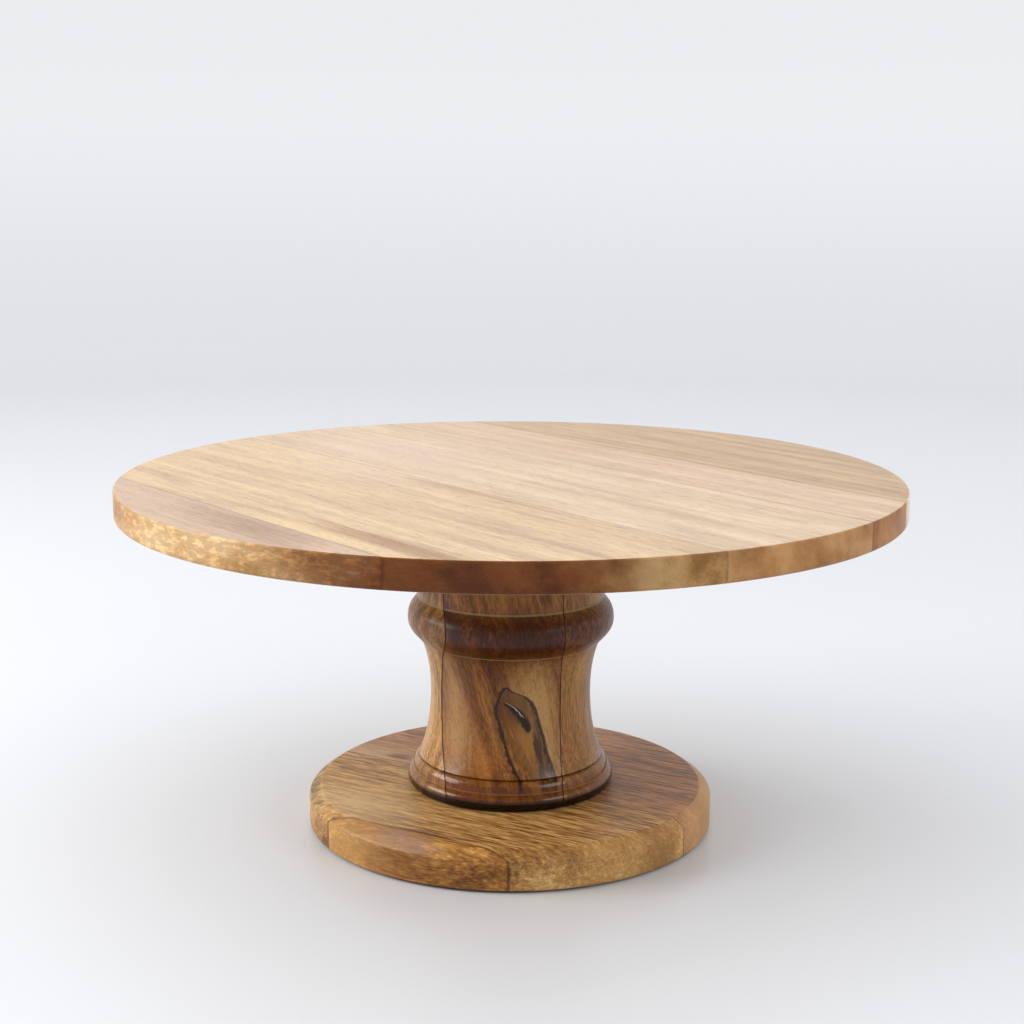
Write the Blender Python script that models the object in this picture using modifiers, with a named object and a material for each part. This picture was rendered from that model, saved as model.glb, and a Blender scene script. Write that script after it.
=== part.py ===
"""Footed wooden cake stand: a glued-up round plate on a turned column and a round base.

The plate, the base and the column are each glued up from separate boards. One bolt runs up
the middle, from a counterbore under the base to a flanged insert let into the plate, and
wooden dowels at both ends of the column stop it turning. Nothing moves.

Metres, +Z up. The origin is the middle of the footprint, on the surface the stand rests on.
"""

import math

import bpy
from mathutils import Matrix, Vector
from mathutils.geometry import interpolate_bezier

# Overall sizes
PLATE_RADIUS = 0.1525
PLATE_THICKNESS = 0.0110
STAND_HEIGHT = 0.1397
BASE_RADIUS = 0.0806
BASE_THICKNESS = 0.0150
BASE_FLAT_RADIUS = 0.0760
BASE_CHAMFER_DROP = 0.0032
PAD_HEIGHT = 0.0010

# Clearance kept between pieces that touch
GAP = 0.0003

# Heights of the main levels
BASE_BOTTOM = PAD_HEIGHT
BASE_TOP = BASE_BOTTOM + BASE_THICKNESS
PLATE_BOTTOM = STAND_HEIGHT - PLATE_THICKNESS
COLUMN_BOTTOM = BASE_TOP + GAP
COLUMN_TOP = PLATE_BOTTOM - GAP

# Boards: the glue lines are straight and parallel in each glued-up piece, so they are given
# by the direction across the boards and by their distance from the middle along it.
PLATE_ACROSS = math.radians(38.5)
PLATE_SEAMS = (-0.123, -0.031, 0.042, 0.080)
BASE_ACROSS = math.radians(60.0)
BASE_SEAMS = (-0.070, -0.007)
COLUMN_ACROSS = math.radians(8.0)
COLUMN_SEAMS = (-0.029, 0.0155)

# Turned column, from the plate down to the base
FLANGE_RADIUS = 0.0412
FLANGE_DEPTH = 0.0030
NECK_RADIUS = 0.0358
NECK_LEVEL = 0.1050
BEAD_RADIUS = 0.0409
BEAD_TOP = 0.0924
BEAD_MIDDLE = 0.0836
BEAD_BOTTOM = 0.0750
BEAD_TOP_RADIUS = 0.0370
BEAD_BOTTOM_RADIUS = 0.0357
WAIST_RADIUS = 0.03185
WAIST_LEVEL = 0.0540
COVE_END_RADIUS = 0.0366
COVE_END = 0.0277
UPPER_RING_TOP = 0.0268
UPPER_RING_BOTTOM = 0.0228
LOWER_RING_RADIUS = 0.0411
LOWER_RING_MIDDLE = 0.0190
GROOVE_DEPTH = 0.0004
CONTACT_RADIUS = 0.0402

# Hardware
BOLT_RADIUS = 0.0040
BOLT_HEAD_RADIUS = 0.0070
BOLT_HEAD_HEIGHT = 0.0042
BOLT_TIP = 0.1366
SOCKET_RADIUS = 0.0029
SOCKET_DEPTH = 0.0022
BORE_RADIUS = 0.0045
COUNTERBORE_RADIUS = 0.0125
COUNTERBORE_DEPTH = 0.0070
WASHER_RADIUS = 0.0110
WASHER_THICKNESS = 0.0016
INSERT_RADIUS = 0.0060
INSERT_FLANGE_RADIUS = 0.0085
INSERT_FLANGE_DEPTH = 0.0012
INSERT_TOP = 0.1370
DOWEL_RADIUS = 0.0040
DOWEL_OFFSET = 0.0220
DOWEL_IN_COLUMN = 0.0130
DOWEL_IN_PLATE = 0.0065
DOWEL_IN_BASE = 0.0095
PAD_RADIUS = 0.0080
PAD_CIRCLE = 0.0620

# Facets around each turned piece
PLATE_STEPS = 96
BASE_STEPS = 72
COLUMN_STEPS = 48
SMALL_STEPS = 24


def clear_scene():
    """Remove whatever the scene holds."""
    for old in list(bpy.data.objects):
        bpy.data.objects.remove(old, do_unlink=True)


def new_collection(name):
    """Add a collection to the scene and return it."""
    collection = bpy.data.collections.new(name)
    bpy.context.scene.collection.children.link(collection)
    return collection


def linear(channel):
    """Turn one sRGB channel from 0..255 into a linear value."""
    value = channel / 255.0
    if value <= 0.04045:
        return value / 12.92
    return ((value + 0.055) / 1.055) ** 2.4


def new_material(name, rgb, roughness, metallic=0.0):
    """Make a Principled material from an sRGB colour."""
    material = bpy.data.materials.new(name)
    material.use_nodes = True
    shader = material.node_tree.nodes["Principled BSDF"]
    colour = tuple(linear(channel) for channel in rgb) + (1.0,)
    shader.inputs["Base Color"].default_value = colour
    shader.inputs["Roughness"].default_value = roughness
    shader.inputs["Metallic"].default_value = metallic
    return material


def arc(centre_r, centre_z, radius, start, end, count):
    """Points of a round stretch of a profile, from one angle to the other, in degrees."""
    points = []
    for step in range(count + 1):
        angle = math.radians(start + (end - start) * step / count)
        points.append((centre_r + radius * math.cos(angle), centre_z + radius * math.sin(angle)))
    return points


def sweep(start, start_handle, end_handle, end, count):
    """Points of a smooth stretch of a profile, as a Bezier curve between two points."""
    controls = [Vector((r, 0.0, z)) for r, z in (start, start_handle, end_handle, end)]
    return [(point.x, point.z) for point in interpolate_bezier(*controls, count + 1)]


def profile_mesh(name, points):
    """Make a mesh of edges at +X from (radius, height) pairs, leaving out repeated points."""
    kept = []
    for point in points:
        if not kept or math.dist(point, kept[-1]) > 1e-5:
            kept.append(point)
    mesh = bpy.data.meshes.new(name)
    edges = [(i, i + 1) for i in range(len(kept) - 1)]
    mesh.from_pydata([(r, 0.0, z) for r, z in kept], edges, [])
    return mesh


def turn(name, mesh, steps, collection, material=None, closed=False):
    """Turn a profile about Z. A closed profile, such as a washer's, never meets the axis."""
    turned = bpy.data.objects.new(name, mesh)
    collection.objects.link(turned)
    screw = turned.modifiers.new("Turn", "SCREW")
    screw.axis = "Z"
    screw.angle = 2.0 * math.pi
    screw.steps = steps
    screw.render_steps = steps
    screw.use_merge_vertices = True
    screw.merge_threshold = 0.00001
    screw.use_smooth_shade = False
    if closed:
        last = len(mesh.vertices) - 1
        mesh.edges.add(1)
        mesh.edges[-1].vertices = (last, 0)
    if material is not None:
        turned.data.materials.append(material)
    return turned


def link_only(thing, collection):
    """Put an object in one collection and no other."""
    for home in list(thing.users_collection):
        home.objects.unlink(thing)
    collection.objects.link(thing)


def hide_cutter(cutter):
    """Mark an object as a cutter: out of renders, and drawn as wires."""
    cutter.hide_render = True
    cutter.display_type = "WIRE"


def cylinder(name, radius, low, high, place, collection, steps=SMALL_STEPS, turn_by=0.0):
    """Stand a plain cylinder between two heights at a place in plan."""
    bpy.ops.mesh.primitive_cylinder_add(
        vertices=steps,
        radius=radius,
        depth=high - low,
        location=(place[0], place[1], (low + high) / 2.0),
        rotation=(0.0, 0.0, turn_by),
    )
    made = bpy.context.object
    made.name = name
    made.data.name = name
    link_only(made, collection)
    return made


def round_cutter(name, radius, low, high, place, collection):
    """Make a round cutter, a little finer than the piece that fits in it."""
    cutter = cylinder(name, radius, low, high, place, collection)
    hide_cutter(cutter)
    return cutter


def slab_cutter(name, across, low, high, bottom, top, reach, collection):
    """Make a box that covers one board: from low to high across the boards."""
    middle = (low + high) / 2.0
    bpy.ops.mesh.primitive_cube_add(size=1.0)
    slab = bpy.context.object
    slab.name = name
    slab.data.name = name
    slab.data.transform(Matrix.Diagonal((high - low, 2.0 * reach, top - bottom, 1.0)))
    slab.rotation_euler = (0.0, 0.0, across)
    slab.location = (
        middle * math.cos(across),
        middle * math.sin(across),
        (bottom + top) / 2.0,
    )
    link_only(slab, collection)
    hide_cutter(slab)
    return slab


def cut(piece, cutter, operation="DIFFERENCE"):
    """Add an exact Boolean with a cutter."""
    boolean = piece.modifiers.new(cutter.name, "BOOLEAN")
    boolean.operation = operation
    boolean.solver = "EXACT"
    boolean.object = cutter


def boards(prefix, names, profile, steps, across, seams, levels, reach, finishes, homes):
    """Split a turned piece along its glue lines into one object for each board.

    names has one entry more than seams, and finishes holds a material for each. Returns the
    boards by name.
    """
    parts, cutters = homes
    limits = [-reach] + list(seams) + [reach]
    made = {}
    for index, name in enumerate(names):
        low = limits[index] + (GAP / 2.0 if index > 0 else 0.0)
        high = limits[index + 1] - (GAP / 2.0 if index < len(seams) else 0.0)
        board = turn(name, profile.copy(), steps, parts, finishes[index])
        slab = slab_cutter(
            prefix + "_slab_" + str(index), across, low, high, levels[0], levels[1], reach, cutters
        )
        cut(board, slab, "INTERSECT")
        made[name] = board
    return made


def disc_profile(radius, bottom, top, top_round, bottom_round):
    """Outline of a flat disc with a small round on each edge, from the axis and back."""
    points = [(0.0, top)]
    points += arc(radius - top_round, top - top_round, top_round, 90.0, 0.0, 3)
    points += arc(radius - bottom_round, bottom + bottom_round, bottom_round, 0.0, -90.0, 3)
    points.append((0.0, bottom))
    return points


def base_profile():
    """Outline of the base: flat top, soft chamfer, upright side and a small lower round."""
    lower_round = 0.0008
    shoulder = BASE_TOP - BASE_CHAMFER_DROP
    points = [(0.0, BASE_TOP)]
    points += sweep(
        (BASE_FLAT_RADIUS - 0.0005, BASE_TOP),
        (BASE_FLAT_RADIUS + 0.0002, BASE_TOP),
        (BASE_FLAT_RADIUS + 0.0004, BASE_TOP - 0.0003),
        (BASE_FLAT_RADIUS + 0.0008, BASE_TOP - 0.0006),
        2,
    )
    points += sweep(
        (BASE_RADIUS - 0.0009, shoulder + 0.0006),
        (BASE_RADIUS - 0.0003, shoulder + 0.0002),
        (BASE_RADIUS, shoulder - 0.0002),
        (BASE_RADIUS, shoulder - 0.0008),
        3,
    )
    centre = (BASE_RADIUS - lower_round, BASE_BOTTOM + lower_round)
    points += arc(centre[0], centre[1], lower_round, 0.0, -90.0, 2)
    points.append((0.0, BASE_BOTTOM))
    return points


def column_profile():
    """Outline of the turned column, from its top down to its foot."""
    points = [(0.0, COLUMN_TOP), (FLANGE_RADIUS, COLUMN_TOP)]
    flange_bottom = COLUMN_TOP - FLANGE_DEPTH
    points += sweep(
        (FLANGE_RADIUS, flange_bottom),
        (FLANGE_RADIUS - 0.0030, flange_bottom - 0.0040),
        (NECK_RADIUS, NECK_LEVEL + 0.0110),
        (NECK_RADIUS, NECK_LEVEL),
        4,
    )
    points.append((BEAD_TOP_RADIUS - 0.0002, BEAD_TOP + 2.0 * GROOVE_DEPTH))
    points.append((BEAD_TOP_RADIUS - GROOVE_DEPTH, BEAD_TOP + GROOVE_DEPTH))
    points += sweep(
        (BEAD_TOP_RADIUS, BEAD_TOP),
        (BEAD_TOP_RADIUS + 0.0024, BEAD_TOP - 0.0030),
        (BEAD_RADIUS, BEAD_MIDDLE + 0.0046),
        (BEAD_RADIUS, BEAD_MIDDLE),
        4,
    )
    points += sweep(
        (BEAD_RADIUS, BEAD_MIDDLE),
        (BEAD_RADIUS, BEAD_MIDDLE - 0.0038),
        (BEAD_BOTTOM_RADIUS + 0.0026, BEAD_BOTTOM + 0.0030),
        (BEAD_BOTTOM_RADIUS, BEAD_BOTTOM),
        4,
    )
    points += sweep(
        (BEAD_BOTTOM_RADIUS - 0.0004, BEAD_BOTTOM - 0.0003),
        (BEAD_BOTTOM_RADIUS - 0.0024, BEAD_BOTTOM - 0.0056),
        (WAIST_RADIUS, WAIST_LEVEL + 0.0090),
        (WAIST_RADIUS, WAIST_LEVEL),
        4,
    )
    points += sweep(
        (WAIST_RADIUS, WAIST_LEVEL),
        (WAIST_RADIUS, WAIST_LEVEL - 0.0100),
        (COVE_END_RADIUS - 0.0034, COVE_END + 0.0080),
        (COVE_END_RADIUS, COVE_END),
        5,
    )
    points.append((COVE_END_RADIUS - GROOVE_DEPTH, (COVE_END + UPPER_RING_TOP) / 2.0))
    points += sweep(
        (COVE_END_RADIUS + 0.0007, UPPER_RING_TOP),
        (COVE_END_RADIUS + 0.0017, UPPER_RING_TOP - 0.0008),
        (COVE_END_RADIUS + 0.0024, UPPER_RING_BOTTOM + 0.0014),
        (COVE_END_RADIUS + 0.0024, UPPER_RING_BOTTOM),
        3,
    )
    points.append((COVE_END_RADIUS + 0.0024 - GROOVE_DEPTH, UPPER_RING_BOTTOM - GROOVE_DEPTH))
    points += sweep(
        (COVE_END_RADIUS + 0.0029, UPPER_RING_BOTTOM - 2.0 * GROOVE_DEPTH),
        (COVE_END_RADIUS + 0.0039, UPPER_RING_BOTTOM - 0.0014),
        (LOWER_RING_RADIUS, LOWER_RING_MIDDLE + 0.0014),
        (LOWER_RING_RADIUS, LOWER_RING_MIDDLE),
        3,
    )
    points += sweep(
        (LOWER_RING_RADIUS, LOWER_RING_MIDDLE),
        (LOWER_RING_RADIUS, LOWER_RING_MIDDLE - 0.0014),
        (CONTACT_RADIUS + 0.0004, COLUMN_BOTTOM + 0.0004),
        (CONTACT_RADIUS, COLUMN_BOTTOM),
        2,
    )
    points.append((0.0, COLUMN_BOTTOM))
    return points


def bolt_profile(head_bottom):
    """Outline of a domed socket-head bolt that stands on its head."""
    head_top = head_bottom + BOLT_HEAD_HEIGHT
    dome = BOLT_HEAD_HEIGHT - 0.0012
    points = [(0.0, BOLT_TIP), (BOLT_RADIUS - 0.0006, BOLT_TIP), (BOLT_RADIUS, BOLT_TIP - 0.0006)]
    points += [(BOLT_RADIUS, head_top), (BOLT_HEAD_RADIUS, head_top)]
    points += sweep(
        (BOLT_HEAD_RADIUS, head_bottom + dome),
        (BOLT_HEAD_RADIUS, head_bottom + 0.4 * dome),
        (BOLT_HEAD_RADIUS - 0.0012, head_bottom),
        (BOLT_HEAD_RADIUS - 0.0028, head_bottom),
        3,
    )
    points.append((0.0, head_bottom))
    return points


def insert_profile():
    """Outline of the flanged insert, a ring that runs down its outside and up its bore."""
    bore = BOLT_RADIUS + GAP
    flange_top = PLATE_BOTTOM + INSERT_FLANGE_DEPTH
    ridge = 0.0008
    outside = [(INSERT_RADIUS - ridge, INSERT_TOP)]
    ridges = 3
    pitch = (INSERT_TOP - flange_top) / ridges
    for index in range(ridges):
        level = INSERT_TOP - pitch * (index + 0.5)
        outside.append((INSERT_RADIUS, level))
        outside.append((INSERT_RADIUS - ridge, level - 0.5 * pitch))
    outside.append((INSERT_FLANGE_RADIUS, flange_top))
    outside.append((INSERT_FLANGE_RADIUS, PLATE_BOTTOM))
    return outside + [(bore, PLATE_BOTTOM), (bore, INSERT_TOP)]


def build_plate(homes, woods):
    """Build the plate's boards, with the insert's pocket and the dowel holes cut in."""
    profile = profile_mesh(
        "plate_profile",
        disc_profile(PLATE_RADIUS, PLATE_BOTTOM, STAND_HEIGHT, 0.0008, 0.0015),
    )
    names = (
        "plate_board_front",
        "plate_board_wide",
        "plate_board_middle",
        "plate_board_narrow",
        "plate_board_back",
    )
    levels = (PLATE_BOTTOM - 0.01, STAND_HEIGHT + 0.01)
    made = boards(
        "plate", names, profile, PLATE_STEPS, PLATE_ACROSS, PLATE_SEAMS, levels, 0.17, woods, homes
    )
    bpy.data.meshes.remove(profile)
    under = PLATE_BOTTOM - 0.001
    pocket = round_cutter(
        "insert_pocket", INSERT_RADIUS + GAP, under, INSERT_TOP + GAP, (0.0, 0.0), homes[1]
    )
    recess = round_cutter(
        "insert_flange_recess",
        INSERT_FLANGE_RADIUS + GAP,
        under - 0.001,
        PLATE_BOTTOM + INSERT_FLANGE_DEPTH + GAP,
        (0.0, 0.0),
        homes[1],
    )
    cut(made["plate_board_middle"], pocket)
    cut(made["plate_board_middle"], recess)
    for index, place in enumerate(dowel_places()):
        hole = round_cutter(
            "plate_dowel_hole_" + str(index),
            DOWEL_RADIUS + GAP,
            under,
            PLATE_BOTTOM + DOWEL_IN_PLATE + GAP,
            place,
            homes[1],
        )
        cut(made["plate_board_middle"], hole)


def build_base(homes, woods):
    """Build the base's boards, with the bolt's bore and counterbore and the dowel holes."""
    profile = profile_mesh("base_profile", base_profile())
    names = ("base_board_front", "base_board_middle", "base_board_back")
    levels = (BASE_BOTTOM - 0.01, BASE_TOP + 0.01)
    made = boards(
        "base", names, profile, BASE_STEPS, BASE_ACROSS, BASE_SEAMS, levels, 0.09, woods, homes
    )
    bpy.data.meshes.remove(profile)
    bore = round_cutter(
        "base_bore", BORE_RADIUS, BASE_BOTTOM - 0.002, BASE_TOP + 0.002, (0.0, 0.0), homes[1]
    )
    counterbore = round_cutter(
        "base_counterbore",
        COUNTERBORE_RADIUS,
        BASE_BOTTOM - 0.001,
        BASE_BOTTOM + COUNTERBORE_DEPTH,
        (0.0, 0.0),
        homes[1],
    )
    cut(made["base_board_back"], bore)
    cut(made["base_board_back"], counterbore)
    cut(made["base_board_middle"], counterbore)
    holders = (made["base_board_middle"], made["base_board_back"])
    for index, place in enumerate(dowel_places()):
        hole = round_cutter(
            "base_dowel_hole_" + str(index),
            DOWEL_RADIUS + GAP,
            BASE_TOP - DOWEL_IN_BASE - GAP,
            BASE_TOP + 0.001,
            place,
            homes[1],
        )
        cut(holders[index], hole)


def build_column(homes, woods):
    """Build the column's three staves, with the bore and dowel holes in the middle one."""
    profile = profile_mesh("column_profile", column_profile())
    names = ("column_stave_left", "column_stave_middle", "column_stave_right")
    levels = (COLUMN_BOTTOM - 0.01, COLUMN_TOP + 0.01)
    made = boards(
        "column",
        names,
        profile,
        COLUMN_STEPS,
        COLUMN_ACROSS,
        COLUMN_SEAMS,
        levels,
        0.06,
        woods,
        homes,
    )
    bpy.data.meshes.remove(profile)
    middle = made["column_stave_middle"]
    bore = round_cutter(
        "column_bore", BORE_RADIUS, COLUMN_BOTTOM - 0.002, COLUMN_TOP + 0.002, (0.0, 0.0), homes[1]
    )
    cut(middle, bore)
    for index, place in enumerate(dowel_places()):
        upper = round_cutter(
            "column_upper_dowel_hole_" + str(index),
            DOWEL_RADIUS + GAP,
            COLUMN_TOP - DOWEL_IN_COLUMN - GAP,
            COLUMN_TOP + 0.001,
            place,
            homes[1],
        )
        lower = round_cutter(
            "column_lower_dowel_hole_" + str(index),
            DOWEL_RADIUS + GAP,
            COLUMN_BOTTOM - 0.001,
            COLUMN_BOTTOM + DOWEL_IN_COLUMN + GAP,
            place,
            homes[1],
        )
        cut(middle, upper)
        cut(middle, lower)


def dowel_places():
    """Places of the two dowels at each end of the column, front first, along its staves."""
    along = COLUMN_ACROSS - math.pi / 2.0
    x, y = DOWEL_OFFSET * math.cos(along), DOWEL_OFFSET * math.sin(along)
    return ((x, y), (-x, -y))


def build_dowels(parts, wood):
    """Build the four dowels, each with chamfered ends."""
    spans = (
        ("upper", COLUMN_TOP - DOWEL_IN_COLUMN, PLATE_BOTTOM + DOWEL_IN_PLATE),
        ("lower", BASE_TOP - DOWEL_IN_BASE, COLUMN_BOTTOM + DOWEL_IN_COLUMN),
    )
    for level, low, high in spans:
        for side, place in zip(("front", "back"), dowel_places()):
            dowel = cylinder(
                level + "_dowel_" + side, DOWEL_RADIUS, low, high, place, parts, steps=16
            )
            dowel.data.materials.append(wood)
            bevel = dowel.modifiers.new("End chamfer", "BEVEL")
            bevel.width = 0.0008
            bevel.segments = 1
            bevel.limit_method = "ANGLE"
            bevel.angle_limit = math.radians(60.0)


def build_hardware(homes, steel, brass):
    """Build the bolt, its washer and the flanged insert it screws into."""
    parts, cutters = homes
    washer_top = BASE_BOTTOM + COUNTERBORE_DEPTH - GAP
    washer_bottom = washer_top - WASHER_THICKNESS
    head_bottom = washer_bottom - GAP - BOLT_HEAD_HEIGHT
    bolt = turn(
        "center_bolt",
        profile_mesh("center_bolt", bolt_profile(head_bottom)),
        SMALL_STEPS,
        parts,
        steel,
    )
    socket = cylinder(
        "bolt_socket",
        SOCKET_RADIUS,
        head_bottom - 0.001,
        head_bottom + SOCKET_DEPTH,
        (0.0, 0.0),
        cutters,
        steps=6,
    )
    hide_cutter(socket)
    cut(bolt, socket)
    ring = [
        (WASHER_RADIUS, washer_top),
        (WASHER_RADIUS, washer_bottom),
        (BORE_RADIUS, washer_bottom),
        (BORE_RADIUS, washer_top),
    ]
    turn("bolt_washer", profile_mesh("bolt_washer", ring), SMALL_STEPS, parts, steel, closed=True)
    turn(
        "threaded_insert",
        profile_mesh("threaded_insert", insert_profile()),
        SMALL_STEPS,
        parts,
        brass,
        closed=True,
    )


def build_pads(parts, felt):
    """Build the four thin pads the stand rests on."""
    corners = ("front_right", "back_right", "back_left", "front_left")
    for index, corner in enumerate(corners):
        angle = math.radians(-45.0 + 90.0 * index)
        place = (PAD_CIRCLE * math.cos(angle), PAD_CIRCLE * math.sin(angle))
        pad = cylinder("foot_pad_" + corner, PAD_RADIUS, 0.0, PAD_HEIGHT - GAP, place, parts)
        pad.data.materials.append(felt)


def main():
    """Build the stand."""
    clear_scene()
    homes = (new_collection("cake_stand"), new_collection("cutters"))
    parts = homes[0]
    plate_woods = (
        new_material("wood_plate_grey_brown", (158, 122, 88), 0.5),
        new_material("wood_plate_golden_tan", (205, 168, 122), 0.5),
        new_material("wood_plate_pale_tan", (214, 182, 142), 0.5),
        new_material("wood_plate_tan", (204, 168, 126), 0.5),
        new_material("wood_plate_brown_tan", (192, 152, 112), 0.5),
    )
    base_woods = (
        new_material("wood_base_golden", (176, 124, 66), 0.5),
        new_material("wood_base_brown", (158, 116, 74), 0.5),
        new_material("wood_base_red_brown", (142, 100, 66), 0.5),
    )
    column_woods = (
        new_material("wood_column_golden", (168, 120, 70), 0.3),
        new_material("wood_column_orange_brown", (138, 88, 46), 0.3),
        new_material("wood_column_light_brown", (160, 112, 66), 0.3),
    )
    build_plate(homes, plate_woods)
    build_base(homes, base_woods)
    build_column(homes, column_woods)
    build_dowels(parts, new_material("wood_dowel_beech", (214, 180, 136), 0.6))
    build_hardware(
        homes,
        new_material("zinc_plated_steel", (176, 178, 180), 0.35, 1.0),
        new_material("brass", (196, 164, 92), 0.35, 1.0),
    )
    build_pads(parts, new_material("felt_brown", (74, 52, 38), 0.95))


main()
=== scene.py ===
"""Looks of the footed wooden cake stand.

The plate, the column and the base are turned again here, finer than in the frame and with
hairline glue joints, and cut into the same boards. Each board gets its own solid wood, which
runs through it from face to edge. The frame's hardware keeps its place and gets its own
finishes, and the pads are made again with soft edges.
"""

import logging
import math
from dataclasses import dataclass, replace
from enum import Enum

import bmesh
import bpy
from mathutils import Euler, Matrix, Vector
from mathutils.geometry import interpolate_bezier


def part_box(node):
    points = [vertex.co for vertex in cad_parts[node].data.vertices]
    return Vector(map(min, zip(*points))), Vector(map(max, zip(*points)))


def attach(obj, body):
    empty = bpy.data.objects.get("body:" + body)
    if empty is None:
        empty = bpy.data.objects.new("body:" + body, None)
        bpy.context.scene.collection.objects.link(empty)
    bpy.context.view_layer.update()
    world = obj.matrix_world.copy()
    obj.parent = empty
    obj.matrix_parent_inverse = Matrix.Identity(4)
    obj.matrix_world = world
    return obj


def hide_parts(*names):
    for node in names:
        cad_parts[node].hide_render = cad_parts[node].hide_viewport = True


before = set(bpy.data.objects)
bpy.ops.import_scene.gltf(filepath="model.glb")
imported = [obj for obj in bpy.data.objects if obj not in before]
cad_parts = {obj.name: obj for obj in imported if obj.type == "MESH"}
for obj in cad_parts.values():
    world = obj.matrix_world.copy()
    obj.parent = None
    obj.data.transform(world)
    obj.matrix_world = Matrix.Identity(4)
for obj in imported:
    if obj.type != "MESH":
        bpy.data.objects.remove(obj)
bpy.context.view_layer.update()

LOG = logging.getLogger("cake_stand")
BODY = "root"
# A board's limit out here means that no glue line bounds it on that side.
OPEN = 9.0
# Metres to millimetres: the woods are worked out in millimetres.
TO_MM = 1000.0

# The frame's nodes. Boards are in order across their piece, as the glue lines are.
PLATE_NODES = tuple(
    f"plate_board_{part}" for part in ("front", "wide", "middle", "narrow", "back")
)
COLUMN_NODES = tuple(f"column_stave_{part}" for part in ("left", "middle", "right"))
BASE_NODES = tuple(f"base_board_{part}" for part in ("front", "middle", "back"))
DOWEL_NODES = tuple(
    f"{end}_dowel_{side}" for end in ("upper", "lower") for side in ("front", "back")
)
PAD_CORNERS = ("front_right", "back_right", "back_left", "front_left")
PAD_NODES = tuple(f"foot_pad_{corner}" for corner in PAD_CORNERS)

Point = tuple[float, float]
Place = tuple[float, float, float]
Tree = bpy.types.NodeTree
Socket = bpy.types.NodeSocket
Link = Socket | float | tuple[float, ...] | Vector | Euler


def linear(colour: str) -> tuple[float, float, float, float]:
    """Turn an sRGB hex colour into linear values.

    Args:
        colour: Six hex digits, such as "c8a070".

    Returns:
        Linear red, green and blue, and an alpha of one.
    """
    channels = []
    for start in (0, 2, 4):
        value = int(colour[start : start + 2], 16) / 255.0
        low = value / 12.92
        high = ((value + 0.055) / 1.055) ** 2.4
        channels.append(low if value <= 0.04045 else high)
    return (channels[0], channels[1], channels[2], 1.0)


class Node(Enum):
    """The nodes that the finishes use: type, and the settings that come with it."""

    MULTIPLY = ("Math", {"operation": "MULTIPLY"})
    MULTIPLY_ADD = ("Math", {"operation": "MULTIPLY_ADD"})
    SUBTRACT = ("Math", {"operation": "SUBTRACT"})
    DIVIDE = ("Math", {"operation": "DIVIDE"})
    ABSOLUTE = ("Math", {"operation": "ABSOLUTE"})
    MINIMUM = ("Math", {"operation": "MINIMUM"})
    MAXIMUM = ("Math", {"operation": "MAXIMUM"})
    EASE = ("MapRange", {"interpolation_type": "SMOOTHSTEP"})
    SPAN = ("MapRange", {"interpolation_type": "LINEAR"})
    STRETCH = ("VectorMath", {"operation": "MULTIPLY"})
    SHIFT = ("VectorMath", {"operation": "MULTIPLY_ADD"})
    OFFSET = ("VectorMath", {"operation": "SUBTRACT"})
    SHRINK = ("VectorMath", {"operation": "DIVIDE"})
    LENGTH = ("VectorMath", {"operation": "LENGTH"})
    ALONG = ("VectorMath", {"operation": "DOT_PRODUCT"})
    SCALE = ("VectorMath", {"operation": "SCALE"})
    NOISE = ("TexNoise", {"noise_dimensions": "3D"})
    NOISE_1D = ("TexNoise", {"noise_dimensions": "1D"})
    RINGS = ("TexWave", {"wave_type": "RINGS", "rings_direction": "Z"})
    BLEND = ("Mix", {"data_type": "RGBA", "blend_type": "MIX"})
    STAIN = ("Mix", {"data_type": "RGBA", "blend_type": "MULTIPLY"})
    COLOURS = ("ValToRGB", {})
    CURVE = ("FloatCurve", {})
    BUMP = ("Bump", {})
    MAPPING = ("Mapping", {})
    AXES = ("SeparateXYZ", {})
    COORDINATES = ("TexCoord", {})
    GEOMETRY = ("NewGeometry", {})


def add(tree: Tree, node: Node, *links: Link, out: int | str = 0, **named: Link) -> Socket:
    """Add a node with its settings, its values and what feeds it.

    Args:
        tree: The node tree to add to.
        node: The kind of node.
        links: For the first inputs, the socket that feeds each, or its own value.
        out: Which output is wanted.
        named: The same as links, for inputs picked by name.

    Returns:
        The output.
    """
    kind, settings = node.value
    made = tree.nodes.new("ShaderNode" + kind)
    for name, value in settings.items():
        setattr(made, name, value)
    for key, source in (*enumerate(links), *named.items()):
        socket = made.inputs[key]
        if isinstance(source, Socket):
            tree.links.new(source, socket)
        else:
            socket.default_value = source
    return made.outputs[out]


def start_material(name: str) -> tuple[bpy.types.Material, Tree, bpy.types.Node]:
    """A new material, its node tree and its shader."""
    made = bpy.data.materials.new(name)
    made.use_nodes = True
    return made, made.node_tree, made.node_tree.nodes["Principled BSDF"]


# Finishes


class Polish(Enum):
    """How a wooden piece was finished: its roughness, and the grain's relief in metres."""

    OILED = (0.42, 0.00005)
    LACQUERED = (0.33, 0.00002)
    RAW = (0.75, 0.00008)


@dataclass(frozen=True)
class Grain:
    """How a board was sawn from its log.

    turn holds the angles that bring the grain onto X, in degrees. pith is where the log's
    middle runs, across the board and up, in millimetres. ring_mm is the width of a year's
    growth. fibre_mm and streak_mm are the length and the width of the fine and the broad
    streaks. seed picks a stretch of the log.
    """

    turn: Place
    pith: Point
    ring_mm: float = 5.0
    fibre_mm: Point = (9.0, 0.5)
    streak_mm: Point = (60.0, 3.0)
    seed: float = 0.0


class Side(Enum):
    """Which faces of a board a mark lies on, as a span of how far the face looks up."""

    BOTH = ()
    TOP = (0.80, 0.97)
    EDGE = (0.97, 0.80)


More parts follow.
